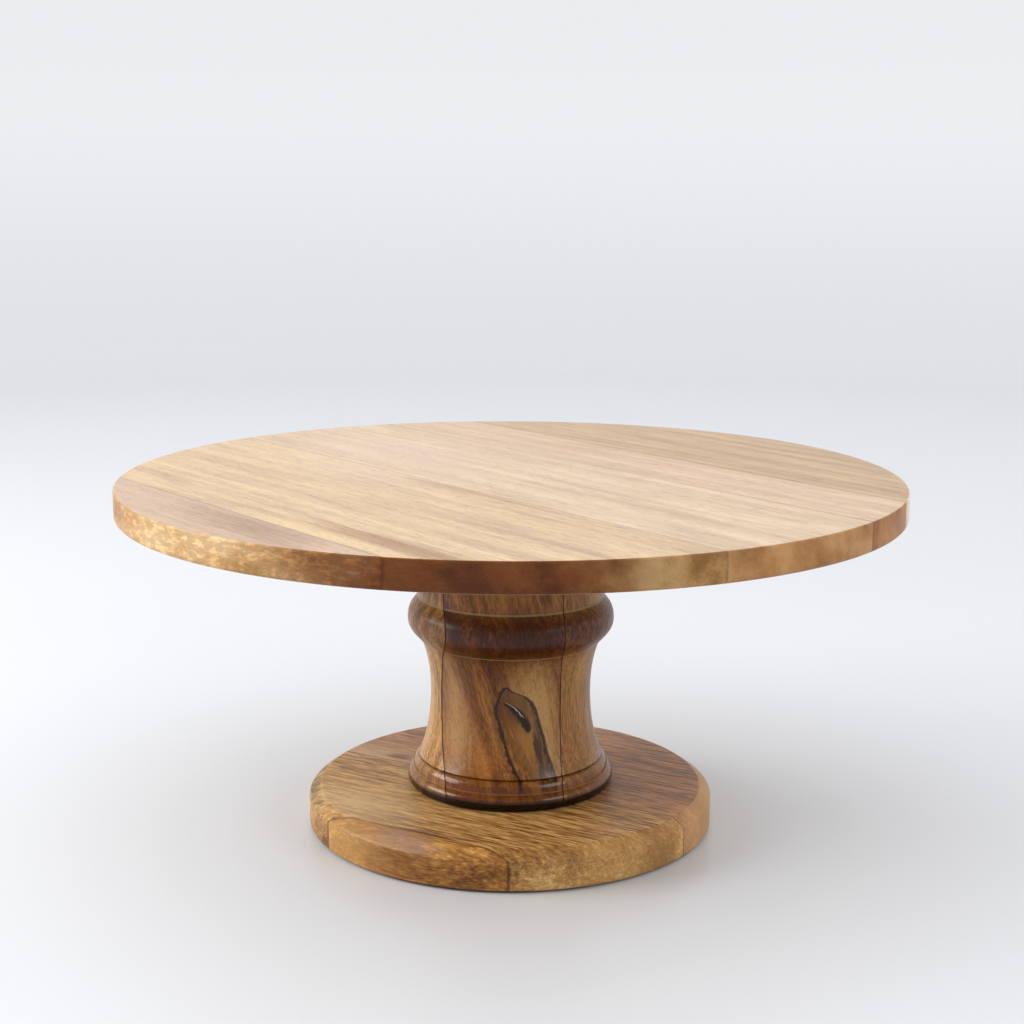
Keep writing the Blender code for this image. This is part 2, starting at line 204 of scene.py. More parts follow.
@dataclass(frozen=True)
class Mark:
    """A streak, patch or tint of another colour in a board.

    middle is its place in millimetres. size is its half length along the grain, half width
    across it and half depth. A stain lets the figure show through, as oil does. ragged is how
    much the grain frays the edge.
    """

    middle: Place
    size: Place
    colour: str
    strength: float = 0.5
    soft: float = 0.6
    side: Side = Side.BOTH
    stain: bool = False
    ragged: float = 1.0


@dataclass(frozen=True)
class Glue:
    """The glue lines beside a board.

    across is the direction across the boards, in degrees. places are in metres along it, width
    is half a line's width in millimetres, and strength is how dark it is.
    """

    across: float
    places: tuple[float, ...]
    width: float
    strength: float


@dataclass(frozen=True)
class Knot:
    """A knot's flame figure on the front of a stave: a dark outline round a dark slit.

    Each line is drawn as points of (height, place across), in millimetres. line is half the
    outline's width.
    """

    left: tuple[Point, ...] = (
        (27.0, 3.4), (32.5, 0.2), (38.0, -1.9), (43.5, -3.4), (49.0, -5.0),
        (53.8, -6.2), (58.6, -5.2), (61.5, -3.8), (63.6, -2.4),
    )
    right: tuple[Point, ...] = (
        (27.0, 16.9), (31.1, 15.5), (36.6, 13.5), (42.1, 12.1), (48.3, 10.4), (51.7, 9.5),
        (55.9, 8.0), (59.2, 5.2), (60.4, 2.5), (62.0, -0.6), (63.6, -2.4),
    )
    band: tuple[Point, ...] = (
        (27.0, 11.2), (33.0, 9.4), (38.0, 8.4), (42.0, 8.0), (46.0, 7.9), (51.0, 8.0),
        (55.0, 7.6), (60.0, 6.0),
    )
    slit: tuple[Point, ...] = (
        (44.0, 6.6), (46.0, 6.1), (48.7, 5.0), (52.0, 3.1), (54.2, 1.2), (56.1, -1.3),
        (57.0, -3.0),
    )
    line: float = 1.0


@dataclass(frozen=True)
class Lot:
    """What the boards of one piece share: the finish, and how much of the figure shows.

    bands, mottle and streak are shares of the tone, and the fibre takes the rest. calm evens
    the end grain. turned is for pieces with a bead and a foot: toned lacquer, painted shade
    under the foot and painted highlights along the grooves.
    """

    polish: Polish = Polish.OILED
    bands: float = 0.22
    mottle: float = 0.26
    streak: float = 0.18
    pores: float = 0.45
    contrast: float = 1.0
    calm: float = 0.0
    gloss: float = 0.5
    turned: bool = False


@dataclass(frozen=True)
class Wood:
    """Acacia or beech, sawn, sanded and finished.

    It gives the eye brown growth bands that vary in width, fine straight fibre lines, short
    dark pores and, on some boards, a rippled curl across the grain. The bands are solid, so
    they run on from a board's face to its edge. colours are the light, middle and dark tones,
    curl is the ripples' strength and curl_mm their spacing, and toning is the share of the
    bead's dark toner that the board took.
    """

    name: str
    colours: tuple[str, str, str]
    grain: Grain
    lot: Lot = Lot()
    curl: float = 0.0
    curl_mm: float = 4.0
    toning: float = 1.0
    knot: Knot | None = None
    marks: tuple[Mark, ...] = ()

    def material(self, glue: Glue | None = None) -> bpy.types.Material:
        """Build the material.

        Args:
            glue: The glue lines at the board's edges, if it has any.

        Returns:
            A material that reads the piece's Object coordinates.
        """
        made, tree, shader = start_material(self.name)
        grain, lot = self.grain, self.lot
        coords = add(tree, Node.COORDINATES, out="Object")
        mm = (TO_MM, TO_MM, TO_MM)
        place = add(tree, Node.MAPPING, coords, self._offset(), self._turn(), mm)
        fibre = self._flecks(tree, place, (*grain.fibre_mm, grain.fibre_mm[1]), 3.0)
        streak = self._flecks(tree, place, (*grain.streak_mm, grain.streak_mm[1]), 4.0)
        mottle = self._flecks(tree, place, (60.0, 18.0, 18.0), 3.0)
        # Open vessels are 0.2 mm wide in the wood, and drawn 0.4 mm wide so that they show.
        pores = add(tree, Node.EASE, self._flecks(tree, place, (5.5, 0.4, 0.4), 1.0), 0.57, 0.70)
        tone = add(tree, Node.MULTIPLY, self._bands(tree, place), lot.bands)
        rest = 1.0 - lot.bands - lot.mottle - lot.streak
        for layer, weight in ((mottle, lot.mottle), (streak, lot.streak), (fibre, rest)):
            tone = add(tree, Node.MULTIPLY_ADD, layer, weight, tone)
        edge = self._facing(tree, Side.EDGE)
        if lot.calm > 0.0:
            plain = add(tree, Node.MULTIPLY_ADD, mottle, 0.8, 0.1)
            pull = add(tree, Node.MULTIPLY, add(tree, Node.SUBTRACT, plain, tone), lot.calm)
            tone = add(tree, Node.MULTIPLY_ADD, pull, edge, tone)
            fewer = add(tree, Node.EASE, edge, 0.0, 1.0, 1.0, 0.4)
            pores = add(tree, Node.MULTIPLY, pores, fewer)
        colour = self._colour(tree, tone)
        if self.curl > 0.0:
            colour = self._curl(tree, place, edge, colour)
        for mark in self.marks:
            colour = self._mark(tree, place, mottle, streak, mark, colour)
        colour = self._lay(tree, colour, pores, lot.pores, "2a1608")
        height = add(tree, Node.MULTIPLY_ADD, pores, -0.8, fibre)
        if self.knot is not None:
            colour, height = self._knot(tree, coords, streak, colour, height)
        # Turned pieces get toned lacquer, painted shade and painted highlights.
        if lot.turned:
            colour = self._toning_and_painted_light(tree, coords, colour)
        if glue is not None:
            colour = self._glue(tree, coords, streak, glue, colour)
        tree.links.new(colour, shader.inputs["Base Color"])
        self._surface(tree, shader, coords, fibre, height)
        return made

    def _turn(self) -> Euler:
        """The turn that brings the grain onto X."""
        return Euler([math.radians(angle) for angle in self.grain.turn])

    def _offset(self) -> Vector:
        """The move that brings the pith onto X, at this board's own stretch of the log."""
        stretch_mm = 137.0
        across, up = self.grain.pith
        return Vector((self.grain.seed * stretch_mm, -across, -up))

    def _flecks(
        self, tree: Tree, place: Socket, size: Place, detail: float, rough: float = 0.55
    ) -> Socket:
        """Noise with features of a given size, in millimetres along, across and up."""
        held = add(tree, Node.STRETCH, place, tuple(1.0 / length for length in size))
        return add(tree, Node.NOISE, Vector=held, Scale=1.0, Detail=detail, Roughness=rough)

    def _lay(
        self,
        tree: Tree,
        colour: Socket,
        mask: Link,
        amount: float,
        shade: str,
        blend: Node = Node.BLEND,
    ) -> Socket:
        """Lay a colour over another where a mask says."""
        weight = add(tree, Node.MULTIPLY, mask, amount)
        return add(tree, blend, out="Result", Factor=weight, A=colour, B=linear(shade))

    def _bands(self, tree: Tree, place: Socket) -> Socket:
        """Growth bands: the distance from the pith, bent by slow noise, read through noise."""
        held = add(tree, Node.STRETCH, place, (1.0 / 90.0, 1.0 / 30.0, 1.0 / 30.0))
        slow = add(tree, Node.NOISE, out="Color", Vector=held, Scale=1.0, Detail=2.0)
        bend_mm = (0.0, 9.0, 9.0)
        bent = add(tree, Node.SHIFT, slow, bend_mm, place)
        flat = add(tree, Node.STRETCH, bent, (0.0, 1.0, 1.0))
        radius = add(tree, Node.LENGTH, flat, out="Value")
        years = add(tree, Node.DIVIDE, radius, self.grain.ring_mm)
        return add(tree, Node.NOISE_1D, W=years, Scale=1.0, Detail=4.0, Roughness=0.62)

    def _colour(self, tree: Tree, tone: Socket) -> Socket:
        """Turn the tone into the board's three colours."""
        light, middle, dark = (linear(shade) for shade in self.colours)
        reach = 0.13 / self.lot.contrast
        made = add(tree, Node.COLOURS, tone)
        ramp = made.node.color_ramp
        ramp.elements[0].position = 0.5 - reach
        ramp.elements[0].color = dark
        ramp.elements[1].position = 0.5 + reach
        ramp.elements[1].color = light
        ramp.elements.new(0.5).color = middle
        return made

    def _curl(self, tree: Tree, place: Socket, edge: Socket, colour: Socket) -> Socket:
        """Curl: bright ripples a few millimetres apart, strongest where an edge cuts them."""
        wide = self.curl_mm
        ripple = self._flecks(tree, place, (wide * 1.1, wide, wide * 0.45), 3.0, 0.6)
        mask = add(tree, Node.EASE, ripple, 0.44, 0.66, -1.0, 1.0)
        mask = add(tree, Node.MULTIPLY, mask, add(tree, Node.EASE, edge, 0.0, 1.0, 0.35, 1.0))
        gain = add(tree, Node.MULTIPLY_ADD, mask, self.curl, 1.0)
        return add(tree, Node.SCALE, colour, Scale=gain)

    def _mark(
        self, tree: Tree, place: Socket, mottle: Socket, streak: Socket, mark: Mark, colour: Socket
    ) -> Socket:
        """Lay one streak or patch, with an edge that follows the grain."""
        middle = Vector(mark.middle)
        middle.rotate(self._turn())
        middle += self._offset()
        away = add(tree, Node.OFFSET, place, tuple(middle))
        reach = add(tree, Node.LENGTH, add(tree, Node.SHRINK, away, mark.size), out="Value")
        frayed = add(tree, Node.MULTIPLY_ADD, streak, 1.3 * mark.ragged, reach)
        frayed = add(tree, Node.MULTIPLY_ADD, mottle, 0.7 * mark.ragged, frayed)
        edge = 1.05 + mark.ragged
        mask = add(tree, Node.EASE, frayed, edge, edge - mark.soft)
        if mark.side is not Side.BOTH:
            mask = add(tree, Node.MULTIPLY, mask, self._facing(tree, mark.side))
        blend = Node.STAIN if mark.stain else Node.BLEND
        return self._lay(tree, colour, mask, mark.strength, mark.colour, blend)

    def _facing(self, tree: Tree, side: Side) -> Socket:
        """One on the flat faces or on the turned edge, and nothing on the other."""
        normal = add(tree, Node.GEOMETRY, out="Normal")
        upright = add(tree, Node.ABSOLUTE, add(tree, Node.AXES, normal, out="Z"))
        return add(tree, Node.EASE, upright, *side.value)

    def _line(self, tree: Tree, away: Socket, width: Link) -> Socket:
        """A soft line where a distance is less than a width."""
        near = add(tree, Node.DIVIDE, add(tree, Node.ABSOLUTE, away), width)
        return add(tree, Node.EASE, near, 1.0, 0.3)

    def _trace(self, tree: Tree, height: Socket, points: tuple[Point, ...]) -> Socket:
        """The place across of a drawn line at each height, in millimetres.

        The curve's box holds heights from 20 to 70 mm and places from -25 to 25 mm.
        """
        box, low = 50.0, -0.4
        made = add(tree, Node.CURVE, Value=add(tree, Node.MULTIPLY_ADD, height, 1.0 / box, low))
        mapping = made.node.mapping
        curve = mapping.curves[0]
        spots = [(z / box + low, x / box + 0.5) for z, x in points]
        curve.points[0].location = spots[0]
        curve.points[1].location = spots[-1]
        for spot in spots[1:-1]:
            curve.points.new(*spot)
        mapping.extend = "HORIZONTAL"
        mapping.update()
        return add(tree, Node.MULTIPLY_ADD, made, box, -box / 2.0)

    def _knot(
        self, tree: Tree, coords: Socket, streak: Socket, colour: Socket, height: Socket
    ) -> tuple[Socket, Socket]:
        """Draw the knot on the front of the stave.

        Args:
            tree: The node tree.
            coords: The piece's Object coordinates, in metres.
            streak: Noise that runs with the grain.
            colour: The wood's colour so far.
            height: The wood's relief so far.

        Returns:
            The colour with the knot in it, and the relief with the slit sunk in it.
        """
        knot = self.knot
        held = add(tree, Node.SCALE, coords, Scale=TO_MM)
        axes = add(tree, Node.AXES, held).node.outputs
        waver = self._flecks(tree, held, (1.6, 1.6, 2.6), 3.0, 0.6)
        x = add(tree, Node.MULTIPLY_ADD, waver, 2.2, axes["X"])
        x = add(tree, Node.SUBTRACT, x, 1.7)
        z = axes["Z"]
        # Only on the stave's front, below the knot's tip, and fading out over the rings.
        front = add(tree, Node.EASE, axes["Y"], -10.0, -14.0)
        front = add(tree, Node.MULTIPLY, front, add(tree, Node.EASE, z, 63.9, 63.1))
        front = add(tree, Node.MULTIPLY, front, add(tree, Node.EASE, z, 17.0, 27.0, 0.25, 1.0))
        # The body between the two outlines: brown, darker at the top, golden below.
        left = add(tree, Node.SUBTRACT, x, self._trace(tree, z, knot.left))
        right = add(tree, Node.SUBTRACT, self._trace(tree, z, knot.right), x)
        inside = add(tree, Node.EASE, add(tree, Node.MINIMUM, left, right), 0.0, 1.5)
        body = add(tree, Node.MULTIPLY, inside, front)
        colour = self._lay(tree, colour, body, 0.4, "7c4e1e")
        deep = add(tree, Node.MULTIPLY, body, add(tree, Node.EASE, z, 44.0, 54.0))
        colour = self._lay(tree, colour, deep, 0.5, "3c1e0a")
        gold = add(tree, Node.MULTIPLY, add(tree, Node.EASE, streak, 0.47, 0.60), body)
        gold = add(tree, Node.MULTIPLY, gold, add(tree, Node.EASE, z, 52.0, 42.0))
        colour = self._lay(tree, colour, gold, 0.6, "ac7a34")
        # The dark band along the right outline.
        inner = add(tree, Node.SUBTRACT, x, self._trace(tree, z, knot.band))
        band = add(tree, Node.MULTIPLY, add(tree, Node.EASE, inner, -0.4, 0.7), body)
        frayed = add(tree, Node.EASE, streak, 0.66, 0.50, 0.5, 1.0)
        colour = self._lay(tree, colour, add(tree, Node.MULTIPLY, band, frayed), 0.85, "301810")
        # The outline, wider and narrower as it goes.
        width = add(tree, Node.EASE, waver, 0.3, 0.7, knot.line * 0.7, knot.line * 1.5)
        left_line, right_line = self._line(tree, left, width), self._line(tree, right, width)
        outline = add(tree, Node.MAXIMUM, left_line, right_line)
        colour = self._lay(tree, colour, add(tree, Node.MULTIPLY, outline, front), 0.9, "200e06")
        # The slit, which closes to a point below, with a painted highlight along its upper edge.
        away = add(tree, Node.SUBTRACT, x, self._trace(tree, z, knot.slit))
        wide = add(tree, Node.EASE, z, 57.5, 54.0, 1.7, 3.0)
        closed = add(tree, Node.EASE, z, 44.3, 48.5, 0.25, 1.0)
        slit = self._line(tree, away, add(tree, Node.MULTIPLY, wide, closed))
        low, high = add(tree, Node.EASE, z, 44.0, 46.0), add(tree, Node.EASE, z, 57.4, 56.4)
        span = add(tree, Node.MULTIPLY, low, high)
        slit = add(tree, Node.MULTIPLY, add(tree, Node.MULTIPLY, slit, span), front)
        colour = self._lay(tree, colour, slit, 0.95, "160a04")
        painted_glint = self._line(tree, add(tree, Node.SUBTRACT, away, 0.7), 0.28)
        upper = add(tree, Node.MULTIPLY, span, add(tree, Node.EASE, z, 50.5, 53.0))
        painted_glint = add(tree, Node.MULTIPLY, add(tree, Node.MULTIPLY, painted_glint, upper), front)
        colour = self._lay(tree, colour, painted_glint, 0.8, "e8dccc")
        return colour, add(tree, Node.MULTIPLY_ADD, slit, -9.0, height)

    def _glue(
        self, tree: Tree, coords: Socket, streak: Socket, glue: Glue, colour: Socket
    ) -> Socket:
        """Darken the wood beside its glue lines."""
        angle = math.radians(glue.across)
        across = (math.cos(angle) * TO_MM, math.sin(angle) * TO_MM, 0.0)
        along = add(tree, Node.ALONG, coords, across, out="Value")
        width = add(tree, Node.EASE, streak, 0.35, 0.65, glue.width * 0.6, glue.width * 1.4)
        for place in glue.places:
            away = add(tree, Node.SUBTRACT, along, place * TO_MM)
            colour = self._lay(tree, colour, self._line(tree, away, width), glue.strength, "1e0f06")
        return colour

    def _toning_and_painted_light(self, tree: Tree, coords: Socket, colour: Socket) -> Socket:
        """Toned lacquer on the bead and the rings, painted shade under the lower ring and in the
        groove above the upper ring, and painted highlights along the other grooves.
        """
        held = add(tree, Node.SCALE, coords, Scale=TO_MM)
        z = add(tree, Node.AXES, held, out="Z")
        bead_level, bead_half = 83.5, 13.0
        bead = self._line(tree, add(tree, Node.SUBTRACT, z, bead_level), bead_half)
        colour = self._lay(tree, colour, bead, self.toning, "bea49c", Node.STAIN)
        ruffle = self._flecks(tree, held, (1.3, 1.3, 3.6), 3.0, 0.65)
        dashes = add(tree, Node.MULTIPLY, add(tree, Node.EASE, ruffle, 0.44, 0.60), bead)
        colour = self._lay(tree, colour, dashes, 0.75 * self.toning, "34140a")
        colour = self._lay(tree, colour, add(tree, Node.EASE, z, 28.5, 24.0), 0.5, "5a2406")
        # Painted shade: near black under the lower ring, where it faces the base.
        colour = self._lay(tree, colour, add(tree, Node.EASE, z, 21.2, 18.8), 0.96, "060201")
        # Painted highlights along the groove under the neck, the crease under the bead and the
        # groove between the rings, and painted shade in the groove above the upper ring.
        for level, width, weight, shade in (
            (92.6, 0.5, 0.42, "c4bd96"),
            (74.9, 0.4, 0.3, "c4bd96"),
            (27.3, 0.6, 0.6, "3a2008"),
            (22.6, 0.45, 0.45, "cca878"),
        ):
            painted_line = self._line(tree, add(tree, Node.SUBTRACT, z, level), width)
            colour = self._lay(tree, colour, painted_line, weight, shade)
        return colour

    def _surface(
        self, tree: Tree, shader: bpy.types.Node, coords: Socket, fibre: Socket, height: Socket
    ) -> None:
        """Set the gloss, and the relief that the fibre and the pores leave in the finish."""
        roughness, relief = self.lot.polish.value
        rough = add(tree, Node.EASE, fibre, 0.3, 0.7, roughness - 0.06, roughness + 0.08)
        if self.lot.turned:
            # Lacquer lies thicker and smoother on the foot, below 26 to 34 mm.
            z = add(tree, Node.AXES, coords, out="Z")
            foot = add(tree, Node.EASE, z, 0.034, 0.026, 1.0, 0.5)
            rough = add(tree, Node.MULTIPLY, rough, foot)
        tree.links.new(rough, shader.inputs["Roughness"])
        shader.inputs["IOR"].default_value = 1.5
        shader.inputs["Specular IOR Level"].default_value = self.lot.gloss
        bump = add(tree, Node.BUMP, Height=height, Strength=0.6, Distance=relief)
        tree.links.new(bump, shader.inputs["Normal"])


@dataclass(frozen=True)
class Metal:
    """A plated or plain metal with fine turning marks."""

    name: str
    colour: str
    roughness: float

    def material(self) -> bpy.types.Material:
        """Build the material: bright, with rings of tool marks 0.3 mm apart."""
        made, tree, shader = start_material(self.name)
        shader.inputs["Base Color"].default_value = linear(self.colour)
        shader.inputs["Metallic"].default_value = 1.0
        coords = add(tree, Node.COORDINATES, out="Object")
        marks = add(tree, Node.RINGS, out="Fac", Vector=coords, Scale=1050.0, Distortion=1.5)
        low, high = self.roughness - 0.05, self.roughness + 0.1
        rough = add(tree, Node.SPAN, marks, 0.0, 1.0, low, high)
        tree.links.new(rough, shader.inputs["Roughness"])
        bump = add(tree, Node.BUMP, Height=marks, Strength=0.3, Distance=0.00001)
        tree.links.new(bump, shader.inputs["Normal"])
        return made


@dataclass(frozen=True)
class Felt:
    """Pressed wool felt: matt, with a mat of short fibres about a millimetre long."""

    name: str
    colour: str
    fleck: str

    def material(self) -> bpy.types.Material:
        """Build the material from noise of the fibres' size."""
        made, tree, shader = start_material(self.name)
        coords = add(tree, Node.COORDINATES, out="Object")
        mat = add(tree, Node.NOISE, Vector=coords, Scale=1400.0, Detail=4.0)
        pair = {"A": linear(self.colour), "B": linear(self.fleck)}
        blend = add(tree, Node.BLEND, out="Result", Factor=mat, **pair)
        tree.links.new(blend, shader.inputs["Base Color"])
        shader.inputs["Roughness"].default_value = 0.95
        shader.inputs["Sheen Weight"].default_value = 0.3
        bump = add(tree, Node.BUMP, Height=mat, Strength=0.8, Distance=0.0002)
        tree.links.new(bump, shader.inputs["Normal"])
        return made


# Outlines


def arc(centre: Point, radius: float, start: float, end: float, count: int) -> list[Point]:
    """Points of a round stretch of an outline.

    Args:
        centre: Radius and height of the arc's centre.
        radius: The arc's own radius.
        start: First angle, in degrees.
        end: Last angle, in degrees.
        count: Number of stretches.

    Returns:
        Points as (radius, height).
    """
    points = []
    for step in range(count + 1):
        angle = math.radians(start + (end - start) * step / count)
        points.append((centre[0] + radius * math.cos(angle), centre[1] + radius * math.sin(angle)))
    return points


def sweep(start: Point, leave: Point, arrive: Point, end: Point, count: int) -> list[Point]:
    """Points of a smooth stretch of an outline, as a Bezier curve.

    Args:
        start: First point.
        leave: Handle of the first point.
        arrive: Handle of the last point.
        end: Last point.
        count: Number of stretches.

    Returns:
        Points as (radius, height).
    """
    controls = [Vector((r, 0.0, z)) for r, z in (start, leave, arrive, end)]
    return [(point.x, point.z) for point in interpolate_bezier(*controls, count + 1)]


def spun(outline: list[Point], steps: int) -> bmesh.types.BMesh:
    """Spin an outline round the stand's axis.

    Args:
        outline: Points as (radius, height). It is closed first if it starts off the axis.
        steps: Number of steps in the full turn.

    Returns:
        The shape, with its faces outward.
    """
    shape = bmesh.new()
    corners = [shape.verts.new((r, 0.0, z)) for r, z in outline]
    edges = [shape.edges.new(pair) for pair in zip(corners, corners[1:])]
    if outline[0][0] > 0.0:
        edges.append(shape.edges.new((corners[-1], corners[0])))
    bmesh.ops.spin(
        shape,
        geom=corners + edges,
        cent=(0.0, 0.0, 0.0),
        axis=(0.0, 0.0, 1.0),
        angle=2.0 * math.pi,
        steps=steps,
        use_merge=True,
        use_duplicate=False,
    )
    bmesh.ops.remove_doubles(shape, verts=shape.verts, dist=0.000001)
    bmesh.ops.recalc_face_normals(shape, faces=shape.faces)
    return shape


def put_object(shape: bmesh.types.BMesh, name: str) -> bpy.types.Object:
    """Turn a bmesh into a smooth-shaded object in the scene, and free it."""
    for face in shape.faces:
        face.smooth = True
    mesh = bpy.data.meshes.new(name)
    shape.to_mesh(mesh)
    shape.free()
    made = bpy.data.objects.new(name, mesh)
    bpy.context.scene.collection.objects.link(made)
    return made


def put_piece(
    shape: bmesh.types.BMesh,
    name: str,
    node: str,
    material: bpy.types.Material,
    sharp: float,
) -> bpy.types.Object:
    """Put a finished shape in place of one of the frame's nodes.

    Args:
        shape: The finished shape, which this frees.
        name: The piece's name.
        node: The node it stands for.
        material: Its finish.
        sharp: Angle past which an edge is sharp, in degrees.

    Returns:
        The piece.
    """
    piece = put_object(shape, name)
    piece.data.set_sharp_from_angle(angle=math.radians(sharp))
    piece.data.materials.append(material)
    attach(piece, BODY)
    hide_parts(node)
    LOG.info("%s: %d faces", name, len(piece.data.polygons))
    return piece


@dataclass(frozen=True)
class Board:
    """One board of a glued-up piece: the node it stands for, its span across, its wood."""

    node: str
    low: float
    high: float
    wood: Wood
    slot: str


def glued_up(
    piece: str, nodes: tuple[str, ...], seams: tuple[float, ...], woods: tuple[Wood, ...]
) -> list[Board]:
    """Give each node its stretch between the glue lines, and its wood.

    Args:
        piece: The glued-up piece's name.
        nodes: The boards' nodes, in order across the piece.
        seams: Where the glue lines are, in metres.
        woods: A wood for each board. The slot's name ends as the wood's name does.

    Returns:
        The boards.
    """
    limits = (-OPEN, *seams, OPEN)
    slots = [f"{piece}_wood_{wood.name.split('_', 2)[2]}" for wood in woods]
    return [Board(*row) for row in zip(nodes, limits, limits[1:], woods, slots)]


@dataclass
class Turning:
    """A turned piece, glued up from boards.

    across is the direction across the boards, in degrees. joint is the width of a glue line,
    and ease the small chamfer that sanding leaves along it. glue holds a glue line's half width
    in millimetres, and how dark it is. sharp is the angle past which an edge is sharp.
    """

    outline: list[Point]
    boards: list[Board]
    across: float
    steps: int
    joint: float
    glue: Point
    ease: float = 0.0
    sharp: float = 32.0

    def build(self) -> list[bpy.types.Object]:
        """Turn the outline and saw it into its boards, one object for each."""
        pieces = []
        for board in self.boards:
            solid = spun(self.outline, self.steps)
            self._saw(solid, board)
            places = tuple(limit for limit in (board.low, board.high) if abs(limit) < OPEN)
            material = board.wood.material(Glue(self.across, places, *self.glue))
            name = board.node + "_fine"
            pieces.append(put_piece(solid, name, board.node, material, self.sharp))
        return pieces

    def _saw(self, solid: bmesh.types.BMesh, board: Board) -> None:
        """Cut away what isn't this board, close the cuts and ease their edges."""
        angle = math.radians(self.across)
        across = Vector((math.cos(angle), math.sin(angle), 0.0))
        for limit, side in ((board.low, -1.0), (board.high, 1.0)):
            if abs(limit) == OPEN:
                continue
            cut = bmesh.ops.bisect_plane(
                solid,
                geom=solid.verts[:] + solid.edges[:] + solid.faces[:],
                dist=0.0000001,
                plane_co=across * (limit - side * self.joint / 2.0),
                plane_no=across * side,
                clear_outer=True,
            )
            rim = [item for item in cut["geom_cut"] if isinstance(item, bmesh.types.BMEdge)]
            filled = bmesh.ops.holes_fill(solid, edges=rim, sides=0)
            if self.ease > 0.0:
                lips = [edge for face in filled["faces"] for edge in face.edges]
                bmesh.ops.bevel(
                    solid,
                    geom=lips,
                    offset=self.ease,
                    offset_type="OFFSET",
                    affect="EDGES",
                    segments=2,
                    profile=0.5,
                    material=-1,
                    clamp_overlap=True,
                )


# Sub-assemblies


@dataclass
class Plate:
    """The round plate: five boards, a square edge with small rounds, a pocket underneath."""

    top_round: float = 0.0008
    bottom_round: float = 0.0016
    pocket_radius: float = 0.0063
    recess_radius: float = 0.0088
    recess_depth: float = 0.0015
    pocket_top: float = 0.1373
    grain_turn: float = 51.5
    seams: tuple[float, ...] = (-0.123, -0.031, 0.042, 0.080)

    def build(self) -> list[bpy.types.Object]:
        """Turn the plate and saw it into its boards."""
        low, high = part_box("plate_board_middle")
        radius = max(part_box(name)[1].x for name in PLATE_NODES)
        return Turning(
            outline=self._outline(radius, low.z, high.z),
            boards=glued_up("plate", PLATE_NODES, self.seams, self._woods()),
            across=90.0 - self.grain_turn,
            steps=256,
            joint=0.00004,
            glue=(0.7, 0.25),
        ).build()

    def _outline(self, radius: float, bottom: float, top: float) -> list[Point]:
        """Outline from the middle of the top, over the edge, to the top of the pocket."""
        ledge = bottom + self.recess_depth
        top_centre = (radius - self.top_round, top - self.top_round)
        low_centre = (radius - self.bottom_round, bottom + self.bottom_round)
        return [
            *((reach, top) for reach in (0.0, 0.05, 0.10, 0.14)),
            *arc(top_centre, self.top_round, 90.0, 0.0, 6),
            (radius, (top + bottom) / 2.0),
            *arc(low_centre, self.bottom_round, 0.0, -90.0, 7),
            *((reach, bottom) for reach in (0.12, 0.08, self.recess_radius)),
            (self.recess_radius, ledge),
            (self.pocket_radius, ledge),
            (self.pocket_radius, self.pocket_top),
            (0.0, self.pocket_top),
        ]

    def _woods(self) -> tuple[Wood, ...]:
        """The five boards' woods, front to back, each from its own log."""
        turn = (0.0, 0.0, self.grain_turn)
        wide, tall = (90.0, 5.0), (13.0, 0.8)
        top, edge = Side.TOP, Side.EDGE
        whole = (900, 900, 900)
        lot = Lot(
            bands=0.15, mottle=0.20, streak=0.30, pores=0.3, contrast=1.3, calm=0.65, gloss=0.22
        )
        # Painted reflection: the top faces are paled where the sheen of the white sweep lies on
        # them. Painted shade: the rim's front, turned away from the lamps, is stained darker, over
        # a tone that is a little darker there too.
        pale = Mark((0, 0, 139.7), whole, "dcccba", 0.36, side=top)
        shade = Mark((-12, -152, 134), (88, 88, 88), "8c5a28", 0.95, 0.75, edge, True, 0.12)
        return (
            Wood(
                "acacia_oiled_grey_brown",
                ("d8b482", "c2945a", "986c3e"),
                Grain(turn, (-150, 90), 6.0, tall, wide, 0.3),
                lot,
                curl=0.22,
                marks=(
                    # Painted reflection on the top faces, in this board's grey tint.
                    Mark((-110, -100, 140), whole, "c0aca0", 0.62, side=top),
                    Mark((-90, -104, 139), (60, 16, 20), "b4a08c", 0.6, 1.2, top, True),
                    shade,
                ),
            ),
            Wood(
                "acacia_oiled_golden_tan",
                ("d4b27c", "bb945b", "906535"),
                Grain(turn, (-190, 100), 8.0, tall, wide, 1.7),
                lot,
                marks=(
                    pale,
                    Mark((-60, 20, 139), (90, 40, 20), "d4bcaa", 0.5, 1.4, top),
                    Mark((-65, -110, 139), (70, 6.5, 8), "e8cc98", 0.45, 1.0, top),
                    Mark((-40, -126, 139), (80, 9, 8), "bca08a", 0.62, 1.0, top, True),
                    Mark((-9, -44, 139), (66, 5, 8), "c4a894", 0.4, 1.0, top, True),
                    shade,
                ),
            ),
            Wood(
                "acacia_oiled_pale_tan",
                ("d2ba96", "bb9b70", "93724a"),
                Grain(turn, (-120, 90), 8.0, tall, wide, 2.9),
                lot,
                marks=(
                    pale,
                    Mark((-50, 60, 139), (90, 40, 20), "d6c0b0", 0.5, 1.4, top),
                    Mark((100, -110, 134), (90, 90, 60), "dcbc98", 1.0, 0.8, edge, True, 0.3),
                ),
            ),
            Wood(
                "acacia_oiled_tan",
                ("cfb088", "b68e66", "8e6a46"),
                Grain(turn, (160, 100), 7.0, tall, wide, 4.1),
                lot,
                marks=(
                    pale,
                    Mark((70, 10, 139), (70, 18, 20), "d8b098", 0.35, 1.4, top),
                    Mark((130, -70, 134), (90, 90, 60), "d4b084", 1.0, 0.8, edge, True, 0.3),
                ),
            ),
            Wood(
                "acacia_oiled_brown_tan",
                ("c8ac80", "ab8a62", "826242"),
                Grain(turn, (-20, 90), 7.0, tall, wide, 5.3),
                replace(lot, contrast=1.1),
                marks=(
                    # Painted reflection: the top faces are paled, as by pale above, but less.
                    Mark((0, 0, 139.7), whole, "d0b8a4", 0.25, side=top),
                    Mark((150, -20, 134), (60, 60, 60), "ecdecc", 0.8, 0.8, edge),
                ),
            ),
        )


